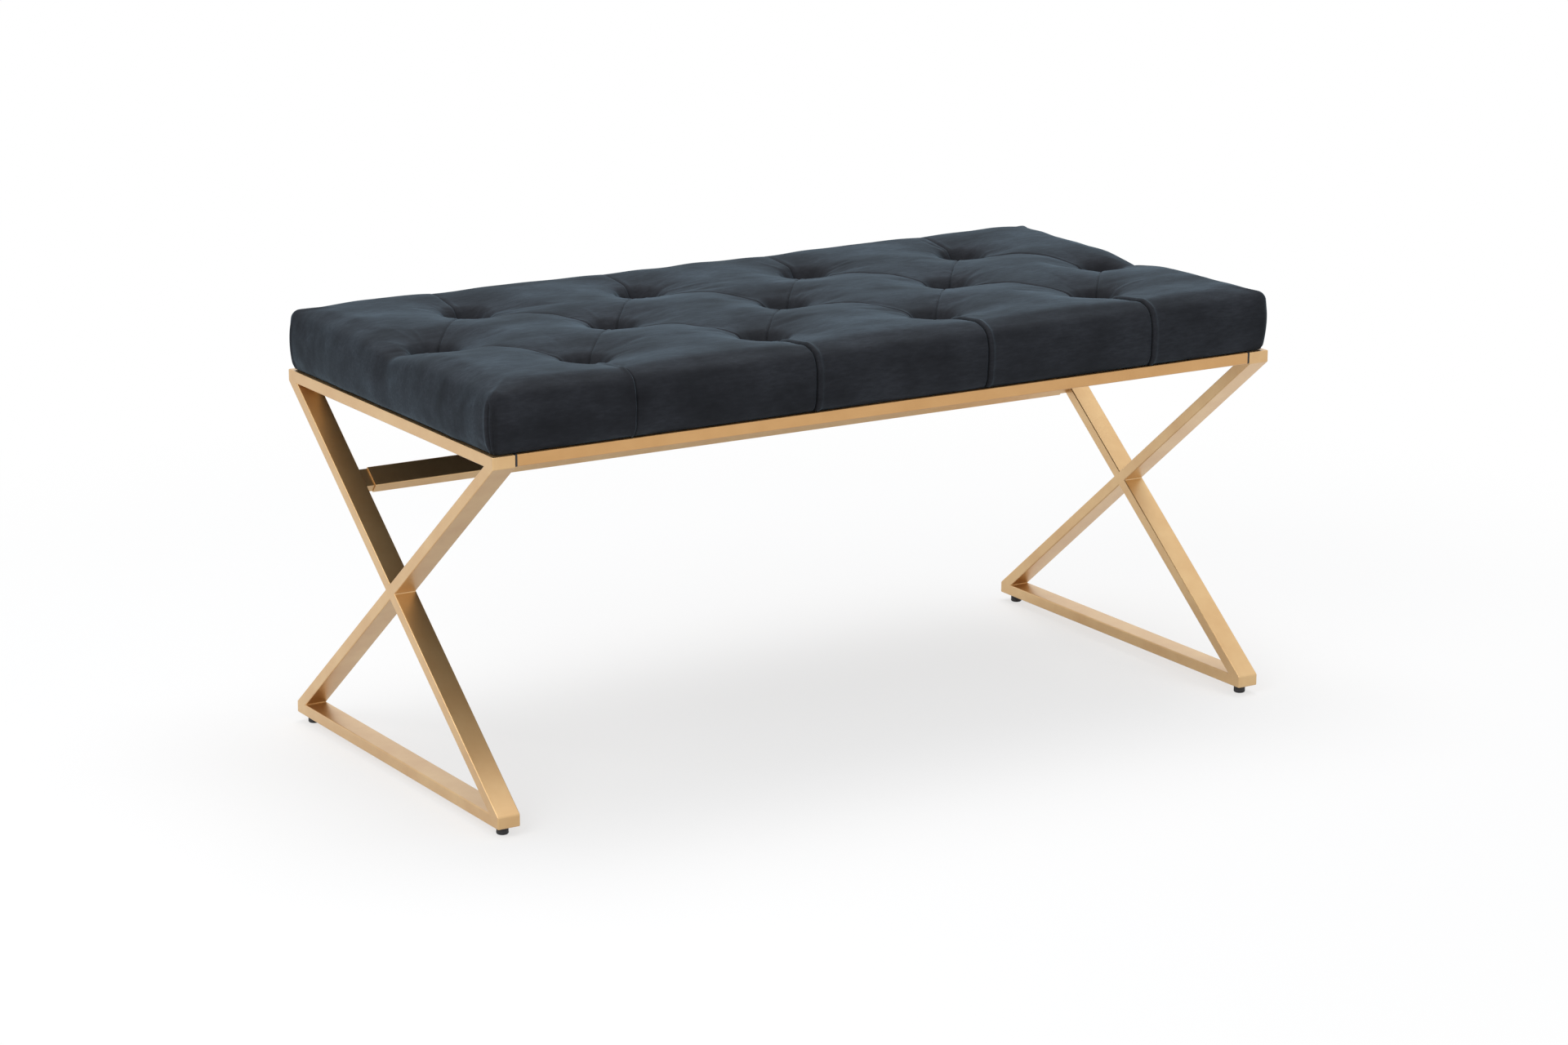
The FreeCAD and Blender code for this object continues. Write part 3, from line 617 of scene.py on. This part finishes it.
def seat_cushion():
    points, faces = seat_form()
    mesh = bpy.data.meshes.new("seat_cushion")
    mesh.from_pydata(points.tolist(), [], faces.tolist())
    piece = new_piece("seat_cushion", mesh, velvet)
    mesh.vertices.foreach_set("co", swell(piece, points).ravel())
    mesh.update()
    finer = piece.modifiers.new("finer", "SUBSURF")
    finer.levels = finer.render_levels = 1
    settle(piece, 180)
    mesh = piece.data
    refine_folds(mesh)
    points = np.zeros(len(mesh.vertices) * 3)
    mesh.vertices.foreach_get("co", points)
    normals = np.zeros(len(mesh.vertices) * 3)
    mesh.vertices.foreach_get("normal", normals)
    points, normals = points.reshape(-1, 3), normals.reshape(-1, 3)
    height, painted_shade = creases(points)
    # The fold attribute carries the painted shade that darkens the velvet's colour and sheen
    mesh.attributes.new("fold", "FLOAT", "POINT").data.foreach_set("value", painted_shade)
    points = points + normals * height[:, None]
    points[:, 2] = np.maximum(points[:, 2], seat_base)
    mesh.vertices.foreach_set("co", points.ravel())
    form = bmesh.new()
    form.from_mesh(mesh)
    bmesh.ops.holes_fill(form, edges=[edge for edge in form.edges if edge.is_boundary])
    close_form(form, mesh)
    smooth(mesh)
    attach(piece, "frame")
    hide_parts("velvet_cover", "foam_pad")


def dust_cover():
    """Black cloth stretched under the board and over the hem's edge, with a slight sag and puckers at the staples."""
    half = np.array([457.0, 204.5]) * mm
    middle_sag, pucker = 2.6 * mm, 0.35 * mm
    xs, ys = np.meshgrid(np.linspace(-1, 1, 93), np.linspace(-1, 1, 43), indexing="ij")
    sag = middle_sag * (1 - xs ** 2) * (1 - ys ** 2) + pucker * np.abs(np.sin(xs * 36)) * np.abs(ys) ** 12
    sag += pucker * np.abs(np.sin(ys * 16)) * np.abs(xs) ** 24
    points = np.column_stack([xs.ravel() * half[0], ys.ravel() * half[1], seat_base - 0.75 * mm - sag.ravel()])
    index = np.arange(xs.size).reshape(xs.shape)
    faces = np.stack([index[:-1, :-1], index[:-1, 1:], index[1:, 1:], index[1:, :-1]], 2).reshape(-1, 4)
    mesh = bpy.data.meshes.new("dust_cover_cloth")
    mesh.from_pydata(points.tolist(), [], faces.tolist())
    piece = new_piece("dust_cover_cloth", mesh, spunbond)
    thick = piece.modifiers.new("cloth_thickness", "SOLIDIFY")
    thick.thickness = 0.5 * mm
    thick.offset = -1
    settle(piece)
    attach(piece, "frame")
    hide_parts("dust_cover")


# Fasteners and other repeated small pieces

def blank_repeater(name, sizes):
    """A node tree with a geometry, a material and named sizes as inputs."""
    tree = bpy.data.node_groups.new(name, "GeometryNodeTree")
    tree.interface.new_socket("Geometry", in_out="INPUT", socket_type="NodeSocketGeometry")
    tree.interface.new_socket("Finish", in_out="INPUT", socket_type="NodeSocketMaterial")
    for size in sizes:
        tree.interface.new_socket(size, in_out="INPUT", socket_type="NodeSocketFloat")
    tree.interface.new_socket("Geometry", in_out="OUTPUT", socket_type="NodeSocketGeometry")
    return tree, add(tree, "NodeGroupInput")


def finish_repeater(tree, given, points, shape, rotation):
    """Sets the shape on every point, then makes it real and gives it its finish."""
    spread = add(tree, "GeometryNodeInstanceOnPoints", None, None,
                 {"Points": points, "Instance": shape, "Rotation": rotation})
    real = add(tree, "GeometryNodeRealizeInstances", None, None, {0: (spread, 0)})
    finish = add(tree, "GeometryNodeSetMaterial", None, None, {"Geometry": (real, 0), "Material": (given, "Finish")})
    add(tree, "NodeGroupOutput", None, None, {"Geometry": (finish, 0)})
    return tree


def button_screws():
    """Button heads with a hexagon socket, one at each point, with the shank along the point's axis."""
    tree, given = blank_repeater("button_screws", (
        "Head diameter", "Head height", "Socket width", "Shank diameter", "Shank length"))
    sizes = {}
    for name, factor, source in (
            ("head radius", 0.5, "Head diameter"), ("crown radius", 0.32, "Head diameter"),
            ("rim height", 0.35, "Head height"), ("rim middle", -0.175, "Head height"),
            ("rim bottom", -0.35, "Head height"), ("dome height", 0.65, "Head height"),
            ("head end", -1.0, "Head height"), ("key radius", 0.577, "Socket width"),
            ("shank radius", 0.5, "Shank diameter"), ("shank middle", 0.5, "Shank length")):
        sizes[name] = add(tree, "ShaderNodeMath", {"operation": "MULTIPLY"}, {1: factor}, {0: (given, source)}), 0
    rim = add(tree, "GeometryNodeMeshCylinder", None, {"Vertices": 32},
              {"Radius": sizes["head radius"], "Depth": sizes["rim height"]})
    dome = add(tree, "GeometryNodeMeshCone", None, {"Vertices": 32},
               {"Radius Top": sizes["crown radius"], "Radius Bottom": sizes["head radius"],
                "Depth": sizes["dome height"]})
    socket = add(tree, "GeometryNodeMeshCylinder", None, {"Vertices": 6},
                 {"Radius": sizes["key radius"], "Depth": (given, "Head height")})
    shank = add(tree, "GeometryNodeMeshCylinder", None, {"Vertices": 16},
                {"Radius": sizes["shank radius"], "Depth": (given, "Shank length")})
    placed = []
    for shape, height, turn in ((rim, "rim middle", 0), (dome, "rim bottom", math.pi), (socket, "head end", 0),
                                (shank, "shank middle", 0)):
        place = add(tree, "ShaderNodeCombineXYZ", None, None, {"Z": sizes[height]})
        placed.append((add(tree, "GeometryNodeTransform", None, {"Rotation": (turn, 0, 0)},
                           {"Geometry": (shape, "Mesh"), "Translation": (place, 0)}), 0))
    rim, dome, socket, shank = placed
    head = add(tree, "GeometryNodeMeshBoolean", {"operation": "DIFFERENCE", "solver": "EXACT"}, None,
               {"Mesh 1": dome, "Mesh 2": socket})
    screw = add(tree, "GeometryNodeJoinGeometry", None, None, {0: [rim, (head, 0), shank]})
    axis = add(tree, "GeometryNodeInputNamedAttribute", {"data_type": "FLOAT_VECTOR"}, {"Name": "axis"})
    turn = add(tree, "FunctionNodeAlignRotationToVector", {"axis": "Z"}, None, {"Vector": (axis, "Attribute")})
    return finish_repeater(tree, given, (given, "Geometry"), (screw, 0), (turn, 0))


def staple_row():
    """Wire staples along a line, with their legs up in the board."""
    tree, given = blank_repeater("staple_row", ("Spacing", "Crown width", "Leg length", "Wire diameter"))
    radius = add(tree, "ShaderNodeMath", {"operation": "MULTIPLY"}, {1: 0.5}, {0: (given, "Wire diameter")})
    crown = add(tree, "GeometryNodeMeshCylinder", None, {"Vertices": 8},
                {"Radius": (radius, 0), "Depth": (given, "Crown width")})
    crown = add(tree, "GeometryNodeTransform", None, {"Rotation": (0, math.pi / 2, 0)}, {"Geometry": (crown, "Mesh")})
    leg = add(tree, "GeometryNodeMeshCylinder", None, {"Vertices": 8},
              {"Radius": (radius, 0), "Depth": (given, "Leg length")})
    up = add(tree, "ShaderNodeMath", {"operation": "MULTIPLY"}, {1: 0.5}, {0: (given, "Leg length")})
    legs = []
    for way in (-0.5, 0.5):
        out = add(tree, "ShaderNodeMath", {"operation": "MULTIPLY"}, {1: way}, {0: (given, "Crown width")})
        spot = add(tree, "ShaderNodeCombineXYZ", None, None, {"X": (out, 0), "Z": (up, 0)})
        legs.append((add(tree, "GeometryNodeTransform", None, None,
                         {"Geometry": (leg, "Mesh"), "Translation": (spot, 0)}), 0))
    staple = add(tree, "GeometryNodeJoinGeometry", None, None, {0: [(crown, 0)] + legs})
    line = add(tree, "GeometryNodeMeshToCurve", None, None, {"Mesh": (given, "Geometry")})
    stations = add(tree, "GeometryNodeResampleCurve", {"mode": "LENGTH"}, None,
                   {"Curve": (line, 0), "Length": (given, "Spacing")})
    tangent = add(tree, "GeometryNodeInputTangent")
    turn = add(tree, "FunctionNodeAlignRotationToVector", {"axis": "X"}, None, {"Vector": (tangent, 0)})
    return finish_repeater(tree, given, (stations, 0), (staple, 0), (turn, 0))


def twisted_ties():
    """Two-ply twine up from each point, with a knot at its foot."""
    tree, given = blank_repeater("twisted_ties", ("Ply diameter", "Length", "Turns", "Knot radius"))
    half_ply = add(tree, "ShaderNodeMath", {"operation": "MULTIPLY"}, {1: 0.5}, {0: (given, "Ply diameter")})
    coil = add(tree, "GeometryNodeCurveSpiral", None, {"Resolution": 12},
               {"Rotations": (given, "Turns"), "Start Radius": (half_ply, 0), "End Radius": (half_ply, 0),
                "Height": (given, "Length")})
    round_ply = add(tree, "GeometryNodeCurvePrimitiveCircle", None, {"Resolution": 6}, {"Radius": (half_ply, 0)})
    ply = add(tree, "GeometryNodeCurveToMesh", None, {"Fill Caps": True},
              {"Curve": (coil, 0), "Profile Curve": (round_ply, 0)})
    other = add(tree, "GeometryNodeTransform", None, {"Rotation": (0, 0, math.pi)}, {"Geometry": (ply, 0)})
    knot = add(tree, "GeometryNodeMeshIcoSphere", None, {"Subdivisions": 2}, {"Radius": (given, "Knot radius")})
    knot = add(tree, "GeometryNodeTransform", None, {"Scale": (1, 1, 0.2)}, {"Geometry": (knot, "Mesh")})
    tie = add(tree, "GeometryNodeJoinGeometry", None, None, {0: [(ply, 0), (other, 0), (knot, 0)]})
    upright = add(tree, "FunctionNodeAlignRotationToVector", {"axis": "Z"}, {"Vector": (0, 0, 1)})
    return finish_repeater(tree, given, (given, "Geometry"), (tie, 0), (upright, 0))


def repeated(name, tree, mesh, material, sizes, replaced=()):
    """Runs a repeater on a mesh of points or edges and keeps its result as one plain piece of the frame."""
    piece = new_piece(name, mesh, material)
    repeater = piece.modifiers.new(name, "NODES")
    repeater.node_group = tree
    for item in tree.interface.items_tree:
        if item.name == "Finish":
            repeater[item.identifier] = material
        elif item.name in sizes:
            repeater[item.identifier] = sizes[item.name]
    settle(piece)
    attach(piece, "frame")
    if replaced:
        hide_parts(*replaced)


def spots(name, places, axis):
    """Points for a repeater, each with the axis that its shape follows."""
    mesh = bpy.data.meshes.new(name)
    mesh.from_pydata(places, [], [])
    turn = mesh.attributes.new("axis", "FLOAT_VECTOR", "POINT")
    for item in turn.data:
        item.vector = axis
    return mesh


def bench_fasteners():
    screw, staple, tie = button_screws(), staple_row(), twisted_ties()
    bar_x = half_length - tube_width / 2
    under_bar = seat_base - tube_thickness
    bolt_spacing, rail_screw_spacing, rail_recess = 140 * mm, 300 * mm, 1.2 * mm
    bolt_places = [(x, y, under_bar) for x in (-bar_x, bar_x) for y in (-bolt_spacing, 0, bolt_spacing)]
    repeated("seat_bolt_set", screw, spots("seat_bolt_set", bolt_places, (0, 0, 1)), zinc, {
        "Head diameter": 11 * mm, "Head height": 3.3 * mm, "Socket width": 4 * mm,
        "Shank diameter": 6 * mm, "Shank length": 25 * mm}, ["seat_bolts"])
    rail_y = (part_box("front_rail")[0].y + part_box("front_rail")[1].y) / 2
    rail_places = [(x, y, seat_base - rail_recess) for x in (-rail_screw_spacing, 0, rail_screw_spacing)
                   for y in (rail_y, -rail_y)]
    repeated("rail_screw_set", screw, spots("rail_screw_set", rail_places, (0, 0, 1)), zinc, {
        "Head diameter": 8 * mm, "Head height": 2.4 * mm, "Socket width": 3 * mm,
        "Shank diameter": 4 * mm, "Shank length": 12 * mm}, ["rail_screws"])
    low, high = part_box("stretcher")
    slope = brace_slope()
    into = Vector((0, -math.sin(slope), math.cos(slope)))
    middle = Vector((0, (low.y + high.y) / 2, (low.z + high.z) / 2)) - into * tube_thickness / 2
    stretcher_head = 8 * mm
    screw_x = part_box("stretcher_screws")[1].x - stretcher_head / 2
    stretcher_places = [(x, middle.y, middle.z) for x in (-screw_x, screw_x)]
    repeated("stretcher_screw_set", screw, spots("stretcher_screw_set", stretcher_places, into), zinc, {
        "Head diameter": stretcher_head, "Head height": 2.4 * mm, "Socket width": 3 * mm,
        "Shank diameter": 5 * mm, "Shank length": 7 * mm}, ["stretcher_screws"])
    x, y, z = 449 * mm, 197 * mm, seat_base - 1.5 * mm
    line = bpy.data.meshes.new("dust_cover_staples")
    line.from_pydata([(-x, -y, z), (x, -y, z), (x, y, z), (-x, y, z)], [(0, 1), (1, 2), (2, 3), (3, 0)], [])
    repeated("dust_cover_staples", staple, line, zinc, {
        "Spacing": 40 * mm, "Crown width": 10 * mm, "Leg length": 5 * mm, "Wire diameter": 0.9 * mm})
    tie_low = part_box("tuft_ties")[0]
    tie_places = [(place[0], place[1], tie_low.z + 0.5 * mm) for place in tufts]
    # The folds that meet in a tuft and the end hollows draw its middle down further
    drawn_down = 14 * mm
    tie_top = seat_top - tuft_depth - drawn_down
    repeated("tuft_twine", tie, spots("tuft_twine", tie_places, (0, 0, 1)), twine, {
        "Ply diameter": 1 * mm, "Length": tie_top - tie_low.z, "Turns": 9.0,
        "Knot radius": 2.2 * mm}, ["tuft_ties"])


# Feet

def turned_skin(name, outline, ripple, material):
    """A closed skin turned about the vertical: rings of radius and height, each moved by ripple(angle, radius, z)."""
    steps = 48
    angles = [2 * math.pi * step / steps for step in range(steps)]
    mesh = bpy.data.meshes.new(name)
    form = bmesh.new()
    rings = []
    for radius, z in outline:
        ring = []
        for angle in angles:
            size = radius + ripple(angle, radius, z)
            ring.append(form.verts.new((size * math.cos(angle), size * math.sin(angle), z)))
        rings.append(ring)
    for low, high in zip(rings, rings[1:]):
        for step in range(steps):
            form.faces.new((low[step - 1], low[step], high[step], high[step - 1]))
    form.faces.new(rings[0])
    form.faces.new(rings[-1])
    bmesh.ops.recalc_face_normals(form, faces=form.faces)
    close_form(form, mesh)
    smooth(mesh, 40)
    return new_piece(name, mesh, material)


def levelling_foot(place):
    """A moulded glide with a fluted grip, and the threaded stud that it turns on."""
    low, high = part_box(place + "_glide")
    middle = Vector(((low.x + high.x) / 2, (low.y + high.y) / 2, 0))
    radius = (high.x - low.x) / 2
    edge = 2 * mm
    outline = [(radius * 0.55, 0.0), (radius - edge, 0.0)]
    for step in range(1, 7):
        turn = math.pi / 2 * step / 6
        outline.append((radius - edge + edge * math.sin(turn), edge - edge * math.cos(turn)))
    grip_low, grip_high, flute_run = 2.6 * mm, 7.8 * mm, 0.2 * mm
    for z in (grip_low, grip_high):
        outline += [(radius, z - flute_run), (radius, z + flute_run)]
    outline += [(radius, high.z - 0.5 * mm), (radius - 0.5 * mm, high.z), (radius * 0.55, high.z)]

    def flutes(angle, size, z):
        on_grip = grip_low < z < grip_high
        return -0.22 * mm * (1 + math.cos(12 * angle)) if on_grip else 0.0

    glide = turned_skin(place + "_foot_glide", outline, flutes, nylon)
    stud_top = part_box(place + "_stud")[1].z
    thread_radius, thread_depth, thread_pitch = 3 * mm, 0.6 * mm, 1 * mm
    ring_step = thread_pitch / 4
    count = round((stud_top - high.z) / ring_step)
    thread = [(thread_radius, high.z - 1 * mm)]
    thread += [(thread_radius, high.z + step * ring_step) for step in range(1, count)]
    thread += [(thread_radius - 0.5 * mm, stud_top)]

    def pitch(angle, size, z):
        share = (z / thread_pitch - angle / (2 * math.pi)) % 1
        return -thread_depth * abs(2 * share - 1) if size == thread_radius else 0.0

    stud = turned_skin(place + "_foot_stud", thread, pitch, zinc)
    for piece, node, slot in ((glide, "_glide", "black_plastic"), (stud, "_stud", "zinc_steel")):
        piece.data.transform(Matrix.Translation(middle))
        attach(piece, place + "_foot")
        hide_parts(place + node)


for frame_side in ("left", "right"):
    welded_frame(frame_side)
seat_cushion()
dust_cover()
bench_fasteners()
for foot in ("front_left", "front_right", "rear_left", "rear_right"):
    levelling_foot(foot)

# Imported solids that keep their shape
finishes = {
    gold: ("stretcher", "left_stretcher_stub", "right_stretcher_stub"),
    darker_rail_gold: ("front_rail", "rear_rail"),
    nylon: ("front_rail_plugs", "rear_rail_plugs"),
    zinc: ("tee_nuts", "glide_nuts", "tuft_anchors"),
    plywood: ("seat_board",),
}
for finish, names in finishes.items():
    for name in names:
        for place in nodes[name].material_slots:
            place.material = finish


# Studio

def shown_rays(tree):
    """The light path, and a value that is 1 for the rays that show the room: camera, reflected and transmitted."""
    rays = add(tree, "ShaderNodeLightPath")
    seen = add(tree, "ShaderNodeMath", {"operation": "MAXIMUM"}, None,
               {0: (rays, "Is Camera Ray"), 1: (rays, "Is Glossy Ray")})
    shown = add(tree, "ShaderNodeMath", {"operation": "MAXIMUM"}, None,
                {0: (seen, "Value"), 1: (rays, "Is Transmission Ray")})
    return rays, shown


def studio_floor():
    """A pale floor that keeps a light shadow of the bench, turns to plain white away from it and hides nothing
    from below."""
    mesh = bpy.data.meshes.new("floor")
    form = bmesh.new()
    bmesh.ops.create_circle(form, cap_ends=True, segments=96, radius=14)
    close_form(form, mesh)
    material, tree, place = blank_material("pale_floor")
    away = add(tree, "ShaderNodeVectorMath", {"operation": "LENGTH"}, None, {0: (place, "Object")})
    rays, shown = shown_rays(tree)
    # Near the bench the shadow stays, lighter for the camera than in the metal's reflections
    near = add(tree, "ShaderNodeMath", {"operation": "MULTIPLY_ADD"}, {1: 0.35, 2: 0.3},
               {0: (rays, "Is Camera Ray")})
    far = add(tree, "ShaderNodeMapRange", {"interpolation_type": "SMOOTHSTEP"}, {"From Min": 0.6, "From Max": 1.6},
              {"Value": (away, "Value"), "To Min": (near, "Value")})
    white = add(tree, "ShaderNodeMath", {"operation": "MULTIPLY"}, None, {0: (far, "Result"), 1: (shown, "Value")})
    matt = add(tree, "ShaderNodeBsdfDiffuse", None, {"Color": linear("#f7f7f7")})
    plain = add(tree, "ShaderNodeEmission", None, {"Strength": 1.0})
    mix = add(tree, "ShaderNodeMixShader", None, None,
              {0: (white, "Value"), 1: (matt, "BSDF"), 2: (plain, "Emission")})
    side = add(tree, "ShaderNodeNewGeometry")
    clear = add(tree, "ShaderNodeBsdfTransparent")
    open_below = add(tree, "ShaderNodeMixShader", None, None,
                     {0: (side, "Backfacing"), 1: (mix, "Shader"), 2: (clear, "BSDF")})
    add(tree, "ShaderNodeOutputMaterial", None, None, {"Surface": (open_below, "Shader")})
    floor = new_piece("floor", mesh, material)


def studio_world():
    """Even soft light all round; the camera and reflections see a plain white room."""
    world = bpy.data.worlds.new("white_room")
    scene.world = world
    world.use_nodes = True
    tree = world.node_tree
    tree.nodes.clear()
    shown = shown_rays(tree)[1]
    room = add(tree, "ShaderNodeBackground", None, {"Color": linear("#f2f4f7"), "Strength": 0.55})
    white = add(tree, "ShaderNodeBackground", None, {"Color": linear("#ffffff"), "Strength": 1.0})
    mix = add(tree, "ShaderNodeMixShader", None, None,
              {0: (shown, "Value"), 1: (room, "Background"), 2: (white, "Background")})
    add(tree, "ShaderNodeOutputWorld", None, None, {"Surface": (mix, "Shader")})


def soft_light(name, place, target, size, power):
    light = bpy.data.lights.new(name, "AREA")
    light.shape = "RECTANGLE"
    light.size, light.size_y = size
    light.energy = power
    lamp = bpy.data.objects.new(name, light)
    lamp.location = place
    lamp.rotation_euler = (Vector(target) - Vector(place)).to_track_quat("-Z", "Y").to_euler()
    scene.collection.objects.link(lamp)


def photo_camera():
    """Stands where the photograph was taken: left of the front, a little above the seat."""
    lens = bpy.data.cameras.new("photo_camera")
    lens.lens = 94.23
    lens.sensor_width = 36
    lens.clip_end = 50
    stand = Matrix.Translation((-2.3354, -3.7414, 1.3780))
    pan, tilt, roll = (math.radians(angle) for angle in (-31.976, 90 - 14.782, 0.248))
    camera = bpy.data.objects.new("photo_camera", lens)
    turn = Matrix.Rotation(pan, 4, "Z") @ Matrix.Rotation(tilt, 4, "X") @ Matrix.Rotation(roll, 4, "Z")
    camera.matrix_world = stand @ turn
    scene.collection.objects.link(camera)
    scene.camera = camera


studio_floor()
studio_world()
soft_light("left_window", (-2.6, -1.2, 2.2), (0, 0, 0.4), (2.2, 1.6), 34)
soft_light("overhead", (0.3, 0.4, 3.0), (0, 0, 0.4), (2.4, 1.6), 48)
soft_light("front_fill", (-1.0, -3.2, 1.8), (0, 0, 0.3), (2.0, 1.4), 8)
photo_camera()
